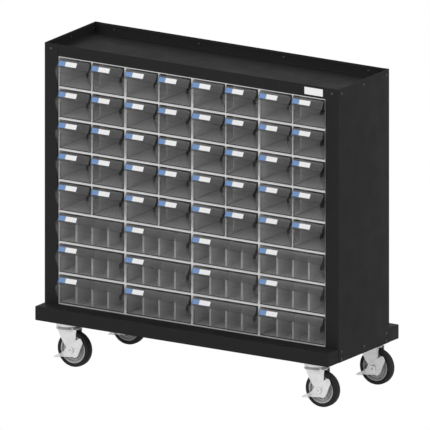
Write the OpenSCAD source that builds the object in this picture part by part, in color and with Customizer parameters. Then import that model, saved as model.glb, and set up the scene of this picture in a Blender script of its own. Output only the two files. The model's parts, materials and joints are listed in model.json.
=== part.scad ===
// Mobile parts bin cabinet: a steel body on a wheeled platform, filled with
// stacked plastic drawer housings and clear smoked bins that pull out.
// Frame: +Z up, floor at Z = 0, fronts of the bins towards -Y, +X to the right.

/* [Bin grid] */
// Number of housing columns
columns = 4; // [1:1:4]
// Rows of housings that hold two narrow bins each, from the top down
small_rows = 5; // [1:1:5]
// Rows of housings that hold one wide bin each, below the narrow ones
wide_rows = 3; // [1:1:3]
// Width of one housing, centre to centre of its neighbours
unit_w = 263; // [220:1:300]
// Height of one housing, from one row to the next
unit_h = 106.8; // [90:0.1:130]
// Depth of a housing, front rim to rear end
unit_d = 306; // [220:1:400]
// Width of a housing's front rim on each side
rim_w = 4; // [3:0.5:6]
// Depth of that rim behind its front face
rim_d = 6; // [4:0.5:12]
// Wall of a housing behind its rim
unit_wall = 2; // [1.5:0.25:2.5]
// Width of the post between two narrow bins
post_w = 4.6; // [3:0.1:8]
// How far back the divider behind the post is cut away
divider_setback = 50; // [30:1:80]
// Height of the rail that is left at the foot of that cut
divider_rail_h = 9; // [6:1:20]
// Air between two housings
unit_gap = 0.4; // [0.2:0.1:1]

/* [Bins] */
// Wall of a bin
bin_wall = 2; // [1.5:0.25:3]
// Distance of a bin's rear from the rear of its housing
bin_rear_gap = 16; // [10:1:60]
// Air between a bin's lip and the housing above it
lip_gap = 3.4; // [2:0.1:6]
// How far the side walls end below the top of the lip
side_drop = 7; // [6:0.5:20]
// Reach of the bin's nose in front of the rim
nose_out = 30; // [20:1:40]
// Height of the nose's upright face
nose_face_h = 16; // [10:1:24]
// Height of the lip, measured up its slope
lip_h = 29; // [24:1:32]
// Air on each side between a bin and its housing
bin_side_gap = 0.8; // [0.5:0.1:1.5]
// Air under a bin
bin_foot_gap = 0.4; // [0.3:0.1:1]
// Distance of the stop ears from the rear of the bin
ear_setback = 56; // [30:1:120]
// Length of a stop ear
ear_l = 12; // [8:1:20]
// Dividers in a wide bin
bin_dividers = 3; // [1:1:5]
// Thickness of a divider
divider_t = 1.6; // [1.2:0.1:3]
// Air between a divider and the bin
divider_gap = 0.4; // [0.3:0.1:1]
// How far a divider's top lies below the top of the bin's sides
divider_drop = 3; // [1:0.5:10]
// Distance of a divider's front edge behind the housing's rim
divider_front = 9; // [6:0.5:30]

/* [Sheet metal body] */
// Thickness of the steel sheet
sheet = 1.5; // [1:0.1:2.5]
// Width of the upright face on each side of the bins
stile_w = 52; // [30:1:80]
// Height of the band above the bins
band_h = 40.3; // [30:1:60]
// Air between the tray in the top and the housings below it
tray_lift = 1.5; // [0.5:0.5:10]
// Thickness of the folded rim round the tray
hem_t = 3; // [2:0.5:5]
// Height of that folded rim
hem_h = 10; // [6:1:14]
// Width of the flange at the rear of each side panel
rear_flange_w = 22; // [15:1:40]
// Distance of the housings' rims behind the front face
rim_setback = 5; // [1:0.5:8]
// Air between the housings and the back panel
unit_rear_gap = 6.7; // [2:0.5:40]

/* [Platform] */
// How far the platform stands out in front and behind
ledge = 62; // [30:1:100]
// Height of the platform
plat_h = 48; // [40:1:80]
// Height of the seat under the bottom row
seat_h = 1; // [0.8:0.1:6]
// Width of a cross channel
channel_w = 112; // [110:1:140]
// Thickness of a cross channel
channel_t = 3; // [2:0.5:4]
// Width of a cross channel's flanges
channel_flange = 16; // [10:1:30]

/* [Card plate] */
// Width of the blank plate on the band
card_w = 72; // [50:1:100]
// Height of the plate
card_h = 25; // [15:1:30]
// Thickness of the plate
card_t = 1.2; // [0.8:0.1:2]
// Distance of the plate's middle from the body's right side
card_from_right = 98; // [90:1:300]

/* [Fasteners] */
// Radius of a panel screw's shank
screw_r = 2.5; // [2:0.1:3]
// Radius of a panel screw's head
screw_head_r = 4.6; // [4:0.1:6]
// Height of a panel screw's head
screw_head_h = 2.2; // [1.5:0.1:3]
// Length of a panel screw's shank
screw_l = 7; // [6:0.5:12]
// Distance of the side screws from the body's front and back
screw_inset = 20; // [12:1:40]
// Distance of the upper screws below the folded rim
screw_below_hem = 7; // [6:0.5:12]
// Thickness of a panel screw's nut
nut_h = 2.5; // [2:0.1:4]
// Height of the lower side screws above the platform's underside
screw_low = 10; // [7:0.5:14]
// Height of the upper side screws above those
screw_step = 26; // [18:0.5:26]
// Radial air round a screw or bolt in its hole
hole_gap = 0.2; // [0.1:0.05:0.5]
// Radius of a caster bolt's shank
bolt_r = 4; // [3:0.5:5]
// Distance between opposite flats of a caster bolt's head
bolt_flats = 13; // [10:0.5:17]
// Thickness of a caster bolt's head and nut
bolt_head_h = 5.5; // [4:0.5:8]

/* [Casters] */
// Height of the platform's underside above the floor
caster_h = 154; // [152:1:190]
// Diameter of a wheel
wheel_d = 123; // [100:1:126]
// Width of a tyre
tyre_w = 32; // [24:1:34]
// Thickness of a tyre on its rim
tyre_t = 14; // [8:1:18]
// Radius that rounds a tyre's shoulders
tyre_round = 6; // [3:0.5:7]
// Offset of the axle from the swivel axis
trail = 26; // [20:1:40]
// Swivel axis of the left casters, from the platform's left end
swivel_from_left = 99; // [90:1:200]
// Swivel axis of the right casters, from the platform's right end
swivel_from_right = 79; // [72:1:200]
// Swivel axes from the platform's front and rear edges
swivel_from_edge = 52; // [46:1:80]
// Length of a caster's top plate, left to right
plate_l = 105; // [98:1:108]
// Width of a caster's top plate, front to back
plate_w = 85; // [80:1:90]
// Thickness of a caster's top plate
plate_t = 5; // [3:0.5:6]
// Spacing of the plate's bolts, left to right
bolt_span_x = 82; // [81:1:84]
// Spacing of the plate's bolts, front to back
bolt_span_y = 62; // [60:1:64]
// Radius of the swivel race
race_r = 41; // [36:1:42]
// Air between a wheel and its fork's crown
wheel_air = 5.5; // [5:0.5:8]
// Air in the swivel
swivel_gap = 0.5; // [0.3:0.1:1]
// Height of the fork's crown
crown_t = 8; // [6.5:0.5:9]
// Reach of the fork's crown and legs from the swivel axis towards the axle
crown_reach = 42; // [40:1:46]
// Radius of the king pin
king_pin_r = 8; // [6:0.5:10]
// Thickness of a fork leg
leg_t = 4; // [3:0.5:5]
// Air between the tyre and a fork leg
leg_gap = 3; // [2:0.5:5]
// Radius of the axle
axle_r = 6; // [5:0.5:8]
// Radial air in a running fit
running_gap = 0.05; // [0.02:0.01:0.1]
// Air between pieces of one caster that seat on each other
seat_gap = 0.05; // [0.02:0.01:0.1]
// Thickness of the brake lever
brake_t = 3; // [2:0.5:4]
// Air between the brake lever and the fork leg
brake_gap = 0.6; // [0.4:0.1:1.5]

/* [Hidden] */
$fn = 64;
eps = 0.01;

// Colours
c_steel = [0.10, 0.10, 0.10];
c_housing = [0.85, 0.85, 0.85];
c_bin = [0.45, 0.46, 0.47, 0.6];
c_zinc = [0.80, 0.81, 0.82];
c_screw = [0.22, 0.22, 0.23];
c_card = [0.93, 0.93, 0.93];
c_rim = [0.62, 0.63, 0.64];
c_tyre = [0.09, 0.09, 0.09];

// Grid and body, worked out from the housings
rows = small_rows + wide_rows;
grid_w = columns * unit_w;
grid_h = rows * unit_h;
body_w = grid_w + 2 * stile_w;
body_d = rim_setback + unit_d + unit_rear_gap + 2 * sheet;
plat_w = body_w - 2 * sheet;
plat_d = body_d + 2 * ledge;
plat_z = caster_h;
plat_top = plat_z + plat_h;
grid_z = plat_top + seat_h;
body_top = grid_z + grid_h + band_h;
tray_z = body_top - band_h + tray_lift + sheet;

// The wheels trail to the right, so the cabinet is moved left to keep the
// origin below the middle of the whole object
wheel_r = wheel_d / 2;
left_reach = body_w / 2 + screw_head_h;
right_reach = max(left_reach, plat_w / 2 - swivel_from_right + trail + wheel_r);
cab_x = (left_reach - right_reach) / 2;
front_y = -body_d / 2;
rear_y = body_d / 2;
rim_y = front_y + rim_setback;

// Openings of the housings
unit_outer_w = unit_w - unit_gap;
unit_outer_h = unit_h - unit_gap;
open_w = unit_outer_w - 2 * rim_w;
open_h = unit_outer_h - 2 * rim_w;
half_open_w = (open_w - post_w) / 2;
cavity_w = unit_outer_w - 2 * unit_wall;
cavity_top = unit_outer_h - unit_wall;
wide_bin_w = open_w - 2 * bin_side_gap;
small_bin_w = half_open_w - 2 * bin_side_gap;
small_bin_x = (post_w + half_open_w) / 2;

// Depth of a bin behind the rim's front face, and how far it slides out
bin_depth = unit_d - bin_rear_gap;
bin_travel = bin_depth - ear_setback - ear_l - rim_d - 2;

// Bin front: heights above the bin's bottom and reaches in front of the rim
lip_lean = 30;
lip_top_z = open_h - bin_foot_gap - lip_gap;
lip_foot_z = lip_top_z - lip_h * cos(lip_lean);
groove_z = lip_foot_z - 1;
nose_top_z = groove_z - 3;
nose_low_z = nose_top_z - nose_face_h;
bin_side_h = lip_top_z - side_drop;
nose_foot_out = 3;
nose_low_out = nose_out - 2;
lip_top_out = 5;
lip_back = lip_top_out - bin_wall - 1;
lip_foot_out = lip_top_out + lip_h * sin(lip_lean);
groove_out = lip_foot_out + 2;
ear_h = open_h + 1 - bin_foot_gap;
divider_corner = 6;

// Caster heights
axle_z = wheel_r;
crown_z = wheel_d + wheel_air;
race_z = crown_z + crown_t + swivel_gap;
race_h = caster_h - race_z;
crown_r = race_r - 3;
pin_head_h = 3;
crown_lip = 3.5;
leg_fold = crown_reach - 9;
pin_head_r = king_pin_r + 5;
leg_in = tyre_w / 2 + leg_gap;
leg_out = leg_in + leg_t;
hub_r = 15;
brake_in = leg_out + brake_gap;
axle_head_h = 5;
axle_head_r = 11;
plate_z = caster_h;
channel_z = plate_z + plate_t;
channel_h = plat_top - sheet - channel_z;

corner_names = ["front_left", "front_right", "rear_left", "rear_right"];
left_swivel_x = cab_x - plat_w / 2 + swivel_from_left;
right_swivel_x = cab_x + plat_w / 2 - swivel_from_right;
swivel_y = plat_d / 2 - swivel_from_edge;
corners = [
    [left_swivel_x, -swivel_y], [right_swivel_x, -swivel_y],
    [left_swivel_x, swivel_y], [right_swivel_x, swivel_y]
];

// Node names. Bins in the top row and wide bins have a node each, and the two
// narrow bins of any other housing share one.
top_bin_names = [for (c = [1:columns], s = ["left", "right"]) str("bin_r1_c", c, "_", s)];
pair_names = [for (r = [2:1:small_rows], c = [1:columns]) str("bin_pair_r", r, "_c", c)];
wide_names = [for (r = [small_rows + 1:rows], c = [1:columns]) str("wide_bin_r", r, "_c", c)];
caster_names = [for (part = ["fork_", "wheel_", "brake_"], corner = corner_names) str(part, corner)];

// Middle in X and bottom in Z of the housing in a column and a row
function unit_x(c) = cab_x - grid_w / 2 + (c - 0.5) * unit_w;
function unit_z(r) = grid_z + (rows - r) * unit_h + unit_gap / 2;

// A block that is centred in X and starts at y and z
module block(w, y0, y1, z0, z1) {
    translate([-w / 2, y0, z0]) cube([w, y1 - y0, z1 - z0]);
}

// ---- Sheet metal ----

// Places of the screws, as [y, z] on a side and as x on the front and the back
top_screw_z = body_top - hem_h - screw_below_hem;
low_screw_z = plat_z + screw_low;
screw_y = rear_y - screw_inset;
side_screws = concat(
    [for (y = [-screw_y, 0, screw_y]) [y, top_screw_z]],
    [for (y = [-screw_y, screw_y], z = [low_screw_z, low_screw_z + screw_step]) [y, z]],
    [[0, low_screw_z + screw_step / 2]]);
back_screw_x = [for (i = [-1.5:1:1.5]) i * (grid_w - stile_w) / 3];
front_screw_x = body_w / 2 - stile_w / 2;

module side_screw_holes() {
    for (p = side_screws) translate([cab_x, p[0], p[1]]) rotate([0, 90, 0])
        cylinder(r = screw_r + hole_gap, h = body_w + 2, center = true);
}

module front_screw_holes() {
    for (s = [-1, 1]) translate([cab_x + s * front_screw_x, front_y, top_screw_z]) rotate([90, 0, 0])
        cylinder(r = screw_r + hole_gap, h = 20, center = true);
}

module back_screw_holes() {
    for (x = back_screw_x) translate([cab_x + x, rear_y, top_screw_z]) rotate([90, 0, 0])
        cylinder(r = screw_r + hole_gap, h = 20, center = true);
}

// Pan open at the bottom, with a raised seat for the bottom row of housings
module base_platform() {
    color(c_steel) difference() {
        translate([cab_x, 0, 0]) {
            block(plat_w, -plat_d / 2, plat_d / 2, plat_z, plat_top);
            block(grid_w, rim_y, rim_y + unit_d, plat_top - eps, grid_z);
        }
        translate([cab_x, 0, 0])
            block(plat_w - 2 * sheet, sheet - plat_d / 2, plat_d / 2 - sheet, plat_z - 1, plat_top - sheet);
        side_screw_holes();
    }
}

// One hat channel across the platform above each pair of casters
module channel_profile() {
    half = channel_w / 2;
    difference() {
        union() {
            translate([-half, 0]) square([channel_w, channel_h]);
            translate([-half - channel_flange, channel_h - channel_t])
                square([channel_w + 2 * channel_flange, channel_t]);
        }
        translate([-half + channel_t, channel_t]) square([channel_w - 2 * channel_t, channel_h]);
    }
}

module bolt_places() {
    for (sx = [-1, 1], sy = [-1, 1]) translate([sx * bolt_span_x / 2, sy * bolt_span_y / 2, 0]) children();
}

module cross_channels() {
    length = plat_d - 2 * sheet - 1;
    color(c_steel) difference() {
        intersection() {
            for (x = [left_swivel_x, right_swivel_x]) translate([x, length / 2, channel_z]) rotate([90, 0, 0])
                linear_extrude(length) channel_profile();
            translate([cab_x, 0, 0])
                block(plat_w - 2 * sheet - 1, -length / 2, length / 2, channel_z, plat_top);
        }
        for (p = corners) translate([p[0], p[1], channel_z - 1]) bolt_places()
            cylinder(r = bolt_r + hole_gap, h = channel_t + 2);
    }
}

// Skin, front stile and rear flange folded from one sheet
module side_panel() {
    inner = body_w / 2 - sheet;
    translate([inner, front_y, plat_z]) cube([sheet, body_d, body_top - plat_z]);
    translate([body_w / 2 - stile_w, front_y, plat_top]) cube([stile_w, sheet, body_top - plat_top]);
    translate([body_w / 2 - rear_flange_w, rear_y - sheet, plat_top])
        cube([rear_flange_w, sheet, body_top - plat_top]);
}

module side_panel_right() {
    color(c_steel) difference() {
        translate([cab_x, 0, 0]) side_panel();
        side_screw_holes();
        front_screw_holes();
    }
}

module side_panel_left() {
    color(c_steel) difference() {
        translate([cab_x, 0, 0]) mirror([1, 0, 0]) side_panel();
        side_screw_holes();
        front_screw_holes();
    }
}

module back_panel() {
    color(c_steel) difference() {
        translate([cab_x, 0, 0])
            block(body_w - 2 * sheet, rear_y - 2 * sheet, rear_y - sheet, plat_top, body_top);
        back_screw_holes();
    }
}

// Walls of the tray, each with a hem at its top; the front one is the band
// above the bins
module tray_walls(w, y0, y1) {
    difference() {
        union() {
            block(w, y0, y1, tray_z - sheet, body_top);
            block(w, y0, y0 + sheet, body_top - band_h, body_top);
        }
        block(w - 2 * sheet, y0 + sheet, y1 - sheet, tray_z - sheet - 1, body_top - hem_h);
        block(w - 2 * hem_t, y0 + hem_t, y1 - hem_t, body_top - hem_h - eps, body_top + 1);
    }
}

// Plan of the wall on the -Y side of a frame of half sizes a and b, mitred
// at both ends
module mitred_side(a, b) {
    inset = hem_t + 1;
    translate([0, -seat_gap, 0]) linear_extrude(body_top + 1) polygon([
        [-a - 1, -b - 1], [a + 1, -b - 1], [a - inset, -b + inset], [-a + inset, -b + inset]
    ]);
}

// Tray welded up from four mitred walls and a floor sheet
module top_tray() {
    w = body_w - 2 * sheet;
    y0 = front_y + sheet;
    y1 = rear_y - 2 * sheet;
    half = [w / 2, (y1 - y0) / 2];
    color(c_steel) difference() {
        translate([cab_x, 0, 0]) {
            block(w - 2 * sheet - 2 * seat_gap, y0 + sheet + seat_gap, y1 - sheet - seat_gap, tray_z - sheet, tray_z);
            for (k = [0:3]) intersection() {
                tray_walls(w, y0, y1);
                translate([0, (y0 + y1) / 2, 0]) rotate(90 * k) mitred_side(half[k % 2], half[(k + 1) % 2]);
            }
        }
        side_screw_holes();
        front_screw_holes();
        back_screw_holes();
    }
}

// Blank plate for a name card on the band
module card_plate() {
    x = cab_x + body_w / 2 - card_from_right;
    color(c_card) translate([x, 0, body_top - band_h / 2])
        block(card_w, front_y + sheet - card_t, front_y + sheet, -card_h / 2, card_h / 2);
}

// ---- Fasteners ----

// Screw with its head up, seated at z = 0, and a nut below the sheets
module panel_screw(grip) {
    cylinder(r = screw_head_r, h = screw_head_h);
    translate([0, 0, -screw_l]) cylinder(r = screw_r, h = screw_l + eps);
    translate([0, 0, -grip - nut_h]) cylinder(r = screw_head_r, h = nut_h, $fn = 6);
}

module panel_screws() {
    color(c_screw) translate([cab_x, 0, 0]) {
        for (s = [0, 1], p = side_screws) mirror([s, 0, 0])
            translate([body_w / 2, p[0], p[1]]) rotate([0, 90, 0]) panel_screw(2 * sheet);
        for (s = [-1, 1]) translate([s * front_screw_x, front_y, top_screw_z]) rotate([90, 0, 0])
            panel_screw(2 * sheet);
        for (x = back_screw_x) translate([x, rear_y - sheet, top_screw_z]) rotate([-90, 0, 0])
            panel_screw(2 * sheet);
    }
}

module hex_prism(flats, h) {
    cylinder(r = flats / sqrt(3), h = h, $fn = 6);
}

module caster_bolt() {
    grip = plate_t + channel_t;
    translate([0, 0, -bolt_head_h]) hex_prism(bolt_flats, bolt_head_h);
    translate([0, 0, -eps]) cylinder(r = bolt_r, h = grip + bolt_head_h + 3);
    translate([0, 0, grip]) hex_prism(bolt_flats, bolt_head_h);
}

module caster_bolts() {
    color(c_zinc) for (p = corners) translate([p[0], p[1], plate_z]) bolt_places() caster_bolt();
}

// ---- Housings ----

// Sleeve with a thicker rim at the front, open at both ends
module housing_shell() {
    difference() {
        block(unit_outer_w, rim_y, rim_y + unit_d, 0, unit_outer_h);
        block(open_w, rim_y - 1, rim_y + unit_d + 1, rim_w, rim_w + open_h);
        block(cavity_w, rim_y + rim_d, rim_y + unit_d + 1, rim_w, cavity_top);
    }
}

// Post at the front, low rail behind it, and the divider set back behind that
module housing_divider() {
    block(post_w, rim_y, rim_y + rim_d, rim_w - eps, rim_w + open_h + eps);
    block(unit_wall, rim_y + rim_d - eps, rim_y + divider_setback + eps, rim_w - eps, rim_w + divider_rail_h);
    block(unit_wall, rim_y + divider_setback, rim_y + unit_d, rim_w - eps, cavity_top + eps);
}

module small_housings() {
    color(c_housing) for (r = [1:small_rows], c = [1:columns]) translate([unit_x(c), 0, unit_z(r)]) union() {
        housing_shell();
        housing_divider();
    }
}

module wide_housings() {
    color(c_housing) for (r = [small_rows + 1:rows], c = [1:columns]) translate([unit_x(c), 0, unit_z(r)])
        housing_shell();
}

// ---- Bins ----

// Side outline of a bin as [reach in front of the rim, height]
outer_outline = [
    [-bin_depth, 0], [nose_foot_out, 0], [nose_low_out, nose_low_z], [nose_out, nose_top_z],
    [groove_out, groove_z], [lip_foot_out, lip_foot_z], [lip_top_out, lip_top_z],
    [lip_back, lip_top_z], [lip_back - 5, bin_side_h], [-bin_depth, bin_side_h]
];
inner_outline = [
    [-bin_depth + bin_wall, bin_wall], [nose_foot_out - bin_wall + 1, bin_wall],
    [nose_low_out - bin_wall, nose_low_z + 1], [nose_out - bin_wall, nose_top_z - 1.5],
    [groove_out - bin_wall, groove_z - bin_wall], [lip_foot_out - bin_wall - 0.5, lip_foot_z],
    [lip_back, lip_top_z], [lip_back, lip_top_z + 1], [-bin_depth + bin_wall, lip_top_z + 1]
];

// Extrudes an outline across the width w, centred
module across(w) {
    translate([-w / 2, rim_y, 0]) rotate([90, 0, 90]) linear_extrude(w) mirror([1, 0]) children();
}

// Tray of a bin with its slanted see-through front and two stop ears
module bin_tray(w) {
    difference() {
        across(w) polygon(outer_outline);
        across(w - 2 * bin_wall) polygon(inner_outline);
    }
    ear_y = rim_y + bin_depth - ear_setback - ear_l;
    for (s = [0, 1]) mirror([s, 0, 0])
        translate([w / 2 - bin_wall, ear_y, bin_side_h - eps]) cube([bin_wall, ear_l, ear_h - bin_side_h]);
}

// Front-to-back dividers that stand in a wide bin
module bin_divider_set(w) {
    inside = w - 2 * bin_wall;
    step = inside / (bin_dividers + 1);
    back = -bin_depth + bin_wall + divider_gap;
    foot = bin_wall + divider_gap;
    top = bin_side_h - divider_drop;
    for (i = [1:bin_dividers]) translate([-inside / 2 + i * step, 0, 0]) across(divider_t) polygon([
        [back, foot], [-divider_front, foot], [-divider_front, top - divider_corner],
        [-divider_front - divider_corner, top], [back, top]
    ]);
}

module at_opening(c, r) {
    translate([unit_x(c), 0, unit_z(r) + rim_w + bin_foot_gap]) children();
}

module small_bin(c, r, side) {
    color(c_bin) at_opening(c, r) translate([side * small_bin_x, 0, 0]) bin_tray(small_bin_w);
}

module bin_pair(c, r) {
    for (side = [-1, 1]) small_bin(c, r, side);
}

module wide_bin(c, r) {
    color(c_bin) at_opening(c, r) {
        bin_tray(wide_bin_w);
        bin_divider_set(wide_bin_w);
    }
}

// ---- Casters, each drawn about its swivel axis ----

// Top plate with the upper race and the king pin
module caster_plate() {
    difference() {
        union() {
            block(plate_l, -plate_w / 2, plate_w / 2, plate_z, plate_z + plate_t);
            translate([0, 0, race_z]) cylinder(r = race_r, h = race_h + eps);
            translate([0, 0, crown_z - swivel_gap]) cylinder(r = king_pin_r, h = crown_t + 3 * swivel_gap);
            translate([0, 0, crown_z - swivel_gap - pin_head_h])
                cylinder(r = pin_head_r, h = pin_head_h + eps);
        }
        translate([0, 0, plate_z - 1]) bolt_places() cylinder(r = bolt_r + hole_gap, h = plate_t + 2);
    }
}

module caster_plates() {
    color(c_zinc) for (p = corners) translate([p[0], p[1], 0]) caster_plate();
}

// Leg outline as [x, z]: as wide as the crown's boss at the top, stepped and
// then straight down on the right, and drawn in on the left in two steps to
// the axle's boss
leg_back = crown_r - 5;
leg_outline = [
    [-leg_back, crown_z + crown_t], [leg_fold, crown_z + crown_t], [leg_fold, crown_z + crown_lip],
    [crown_reach, crown_z + crown_lip], [trail + hub_r, axle_z],
    [trail, axle_z - hub_r + 1], [trail - hub_r, axle_z], [trail - 2 * hub_r + 1, axle_z + 18],
    [trail - hub_r - 26, axle_z + 37]
];

module fork_leg(y0) {
    translate([0, y0 + leg_t, 0]) rotate([90, 0, 0]) linear_extrude(leg_t) polygon(leg_outline);
    translate([trail, y0 + leg_t, axle_z]) rotate([90, 0, 0]) cylinder(r = hub_r, h = leg_t);
}

module axle_cylinder(r, y0, y1) {
    translate([trail, y1, axle_z]) rotate([90, 0, 0]) cylinder(r = r, h = y1 - y0);
}

module fork_frame() {
    difference() {
        union() {
            translate([0, 0, crown_z]) cylinder(r = race_r, h = crown_lip);
            translate([0, 0, crown_z]) cylinder(r = crown_r - 3, h = crown_t);
            fork_leg(-leg_out);
            fork_leg(leg_in);
        }
        translate([0, 0, crown_z - 1]) cylinder(r = king_pin_r + running_gap, h = crown_t + 2);
        axle_cylinder(axle_r + hole_gap, -leg_out - 1, leg_out + 1);
    }
}

module axle_bolt() {
    head_y = -brake_in - brake_t - brake_gap;
    nut_y = leg_out + seat_gap;
    difference() {
        union() {
            axle_cylinder(axle_r, head_y - eps, nut_y + eps);
            axle_cylinder(axle_head_r, head_y - axle_head_h, head_y);
            axle_cylinder(axle_head_r, nut_y, nut_y + axle_head_h);
        }
        axle_cylinder(axle_r / 2, head_y - axle_head_h - 1, head_y - 1);
    }
}

module fork(i) {
    color(c_zinc) translate([corners[i][0], corners[i][1], 0]) {
        fork_frame();
        axle_bolt();
    }
}

// Half profiles of the tyre and the rim as [radius, width]
module tyre_profile() {
    seat_r = wheel_r - tyre_t + seat_gap;
    half = tyre_w / 2;
    translate([seat_r, -half]) square([wheel_r - tyre_round - seat_r, tyre_w]);
    translate([seat_r, -half + tyre_round]) square([wheel_r - seat_r, tyre_w - 2 * tyre_round]);
    for (s = [-1, 1]) translate([wheel_r - tyre_round, s * (half - tyre_round)]) circle(tyre_round);
}

module rim_profile() {
    rim_r = wheel_r - tyre_t;
    bore_r = axle_r + running_gap;
    web_t = 8;
    ring_t = 5;
    rim_ring(bore_r, hub_r, tyre_w);
    rim_ring(bore_r, rim_r, web_t);
    rim_ring(rim_r - ring_t, rim_r, tyre_w - 4);
    rim_ring(rim_r - 3 * ring_t, rim_r - 2 * ring_t, tyre_w - 14);
}

module rim_ring(r0, r1, w) {
    translate([r0, -w / 2]) square([r1 - r0, w]);
}

module wheel(i) {
    translate([corners[i][0] + trail, corners[i][1], axle_z]) rotate([90, 0, 0]) {
        color(c_rim) rotate_extrude() rim_profile();
        color(c_tyre) rotate_extrude() tyre_profile();
    }
}

// Lever outline about the axle as [x, z]: a release lobe on the right, a
// pedal arm on the left
brake_outline = [
    [10, 30], [20.5, 37.5], [35, 45.5], [40, 42], [46, 30], [36, 6], [32, -5], [25, -18.5], [16.5, -25],
    [8, -23], [-34, -27], [-38, -13.5], [-27, -6.5], [-18.5, 9.5]
];
pedal_outline = [[-34, -27], [-36, -13], [-59, -26.5], [-58.5, -29]];
pedal_w = 16;

module brake(i) {
    color(c_zinc) translate([corners[i][0] + trail, corners[i][1], axle_z]) rotate([90, 0, 0]) difference() {
        union() {
            translate([0, 0, brake_in]) linear_extrude(brake_t) polygon(brake_outline);
            translate([0, 0, brake_in]) linear_extrude(pedal_w) polygon(pedal_outline);
        }
        translate([0, 0, brake_in - 1]) cylinder(r = axle_r + running_gap, h = brake_t + 2);
    }
}

// ---- Drawing ----

base_platform();
cross_channels();
side_panel_left();
side_panel_right();
back_panel();
top_tray();
small_housings();
wide_housings();
panel_screws();
card_plate();
caster_plates();
caster_bolts();
for (i = [0:3]) {
    fork(i);
    wheel(i);
    brake(i);
}
for (c = [1:columns]) {
    small_bin(c, 1, -1);
    small_bin(c, 1, 1);
    for (r = [2:1:small_rows])
        bin_pair(c, r);
    for (r = [small_rows + 1:rows])
        wide_bin(c, r);
}
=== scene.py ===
# %% [markdown]
# # A parts bin cabinet on casters
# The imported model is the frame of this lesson: every solid in it has its real size and place,
# in metres, with the floor at z = 0 and the bins' fronts towards -Y. Each piece built below takes
# its place from a solid of that frame, rides on one of its bodies, and often stands in for it.

# %% Load the frame
import json
import math

import bmesh
import bpy
from mathutils import Matrix, Vector

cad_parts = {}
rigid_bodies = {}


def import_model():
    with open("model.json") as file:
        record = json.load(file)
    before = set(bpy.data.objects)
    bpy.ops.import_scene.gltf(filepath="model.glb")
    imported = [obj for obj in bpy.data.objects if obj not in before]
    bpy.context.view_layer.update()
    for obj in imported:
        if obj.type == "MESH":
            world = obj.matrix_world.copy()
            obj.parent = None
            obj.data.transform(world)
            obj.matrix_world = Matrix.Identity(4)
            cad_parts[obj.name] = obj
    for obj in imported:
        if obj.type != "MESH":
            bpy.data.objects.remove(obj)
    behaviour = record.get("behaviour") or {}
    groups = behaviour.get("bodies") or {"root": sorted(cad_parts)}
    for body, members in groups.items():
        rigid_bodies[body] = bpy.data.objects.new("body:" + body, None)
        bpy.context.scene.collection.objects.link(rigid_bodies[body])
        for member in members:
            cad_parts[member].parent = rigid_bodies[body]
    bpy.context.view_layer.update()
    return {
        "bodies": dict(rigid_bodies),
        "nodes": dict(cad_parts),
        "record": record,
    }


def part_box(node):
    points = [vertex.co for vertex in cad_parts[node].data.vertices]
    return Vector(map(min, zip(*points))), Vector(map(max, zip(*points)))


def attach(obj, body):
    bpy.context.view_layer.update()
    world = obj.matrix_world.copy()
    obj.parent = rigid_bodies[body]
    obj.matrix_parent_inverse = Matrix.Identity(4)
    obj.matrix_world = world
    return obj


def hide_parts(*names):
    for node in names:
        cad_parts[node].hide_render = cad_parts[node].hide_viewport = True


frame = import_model()
scene = bpy.context.scene
MM = 0.001

# %% [markdown]
# ## Where the solids are
# Several nodes hold a whole set of like solids, such as twenty housings. Their places could be
# typed in again, but reading them off the frame keeps both models in step. A walk along the
# edges finds what belongs to one solid, and with it the solid's box.

# %% Boxes of the separate solids in a node
SAME_PLACE = 0.01 * MM


def walk_solid(start, waiting):
    """The vertices that edges join to start, taken out of waiting."""
    found, ends = [start], [start]
    while ends:
        for edge in ends.pop().link_edges:
            for vert in edge.verts:
                if vert in waiting:
                    waiting.discard(vert)
                    found.append(vert)
                    ends.append(vert)
    return found


def loose_boxes(node):
    """The lowest and highest corner of every separate solid in a node, in a fixed order."""
    bm = bmesh.new()
    bm.from_mesh(frame["nodes"][node].data)
    bmesh.ops.remove_doubles(bm, verts=bm.verts, dist=SAME_PLACE)
    waiting = set(bm.verts)
    boxes = []
    for vert in bm.verts:
        if vert in waiting:
            waiting.discard(vert)
            places = [v.co for v in walk_solid(vert, waiting)]
            low = Vector([min(p[i] for p in places) for i in range(3)])
            high = Vector([max(p[i] for p in places) for i in range(3)])
            boxes.append((low, high))
    bm.free()
    return sorted(boxes, key=lambda box: [round(c, 4) for c in box[0]])


def rounded(place):
    """A place in whole tenths of a millimetre, for printing."""
    return [round(c / MM, 1) for c in place]


SMALL_HOUSINGS = loose_boxes("small_housings")
WIDE_HOUSINGS = loose_boxes("wide_housings")
print("housings:", len(SMALL_HOUSINGS), "small and", len(WIDE_HOUSINGS), "wide")

# %% [markdown]
# ## The camera
# Product pictures are often made with a parallel view, so that upright edges stay upright and
# equal bins look equal. An orthographic camera does that. Its direction is an azimuth round from
# the front and an elevation, and its frame is as wide as the cabinet needs.

# %% Camera
AZIMUTH = math.radians(32.03)
ELEVATION = math.radians(15.0)
VIEW_WIDTH = 1.43333
AIM_RIGHT = -0.0085
AIM_UP = 0.5293
CAMERA_DISTANCE = 6.0

view_right = Vector((math.cos(AZIMUTH), math.sin(AZIMUTH), 0))
level = math.cos(ELEVATION)
view_back = Vector((math.sin(AZIMUTH) * level, -math.cos(AZIMUTH) * level, math.sin(ELEVATION)))
view_up = view_back.cross(view_right)
camera_data = bpy.data.cameras.new("camera")
camera_data.type = "ORTHO"
camera_data.ortho_scale = VIEW_WIDTH
camera = bpy.data.objects.new("camera", camera_data)
turn = Matrix((view_right, view_up, view_back)).transposed()
place = AIM_RIGHT * view_right + AIM_UP * view_up + CAMERA_DISTANCE * view_back
camera.matrix_world = Matrix.Translation(place) @ turn.to_4x4()
scene.collection.objects.link(camera)
bpy.context.scene.camera = camera
print("camera at", rounded(place), "mm")

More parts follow.
